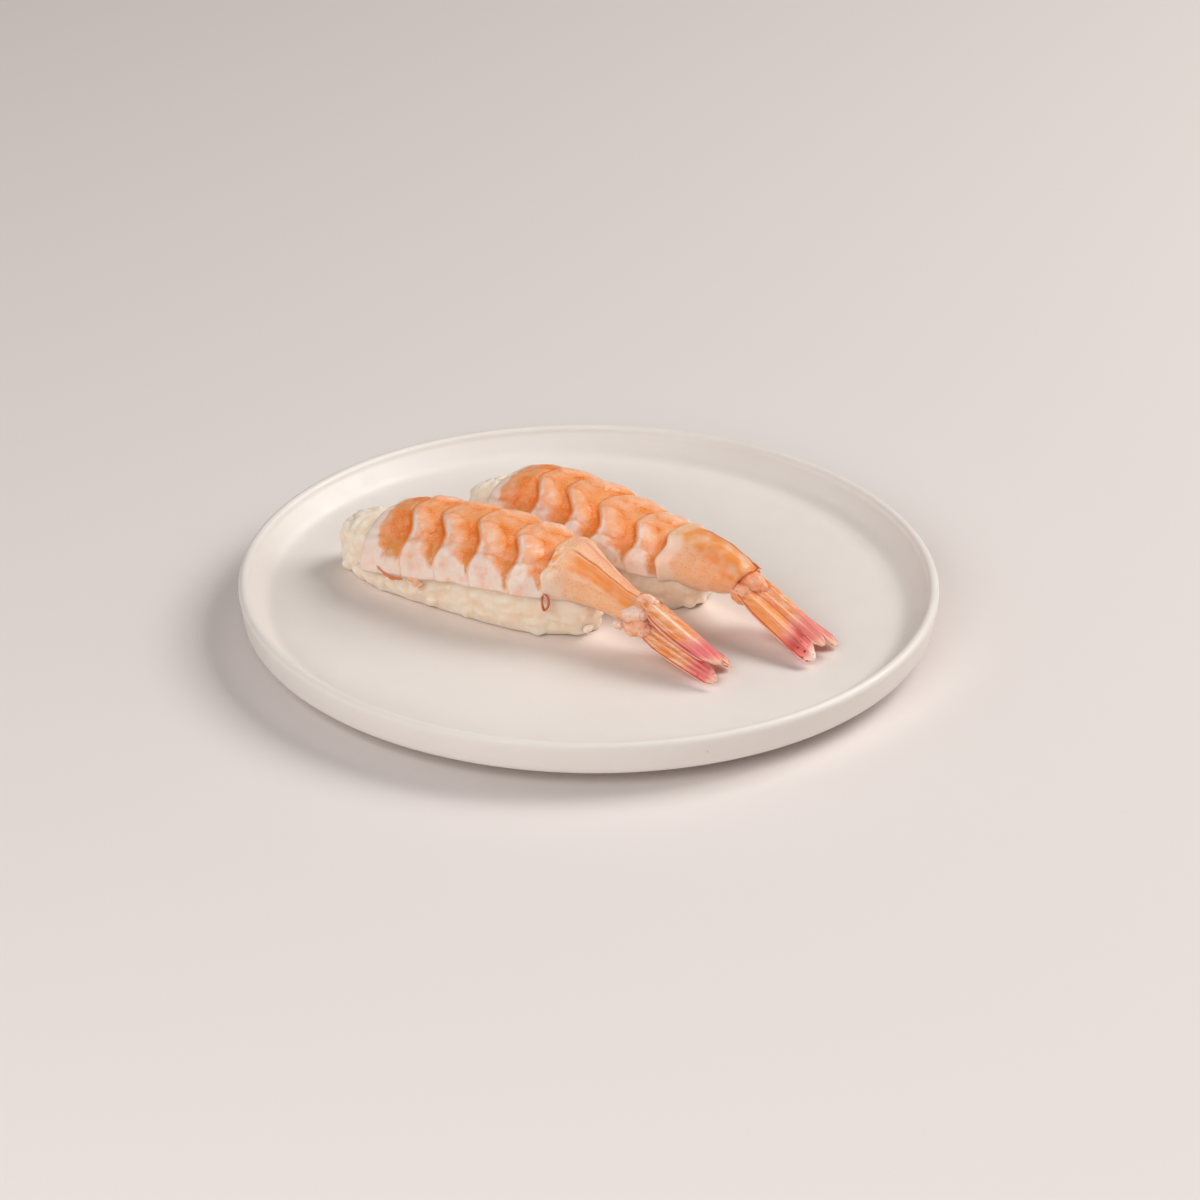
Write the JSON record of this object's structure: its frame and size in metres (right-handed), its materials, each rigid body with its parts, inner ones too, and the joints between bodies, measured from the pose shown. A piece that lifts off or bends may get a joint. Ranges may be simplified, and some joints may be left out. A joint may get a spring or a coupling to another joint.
{
  "type": "shrimp nigiri sushi on a plate",
  "caption": "Boiled shrimp nigiri lying side by side on a small round plate: pressed rice blocks, each under an opened shrimp with its tail shell and fan.",
  "frame": {"origin": "middle of the plate's foot ring, on the surface the plate stands on", "axes": "+Z up; the shrimp point from the upper left to the lower right when seen from above with +X to the right and +Y up"},
  "size_m": [0.15, 0.15, 0.0265],
  "materials": {
    "plate": "warm white stoneware with a satin glaze",
    "rice": "boiled short-grain rice, moist and slightly clear",
    "shrimp_flesh": "boiled shrimp flesh, white with orange bands, moist",
    "shrimp_shell": "boiled shrimp shell, clear orange with red ridges and pink tips"
  },
  "bodies": {
    "root": {"plate": "plate", "front_rice": "rice", "front_shrimp": "shrimp_flesh", "front_tail": "shrimp_shell", "back_rice": "rice", "back_shrimp": "shrimp_flesh", "back_tail": "shrimp_shell"}
  },
  "joints": []
}
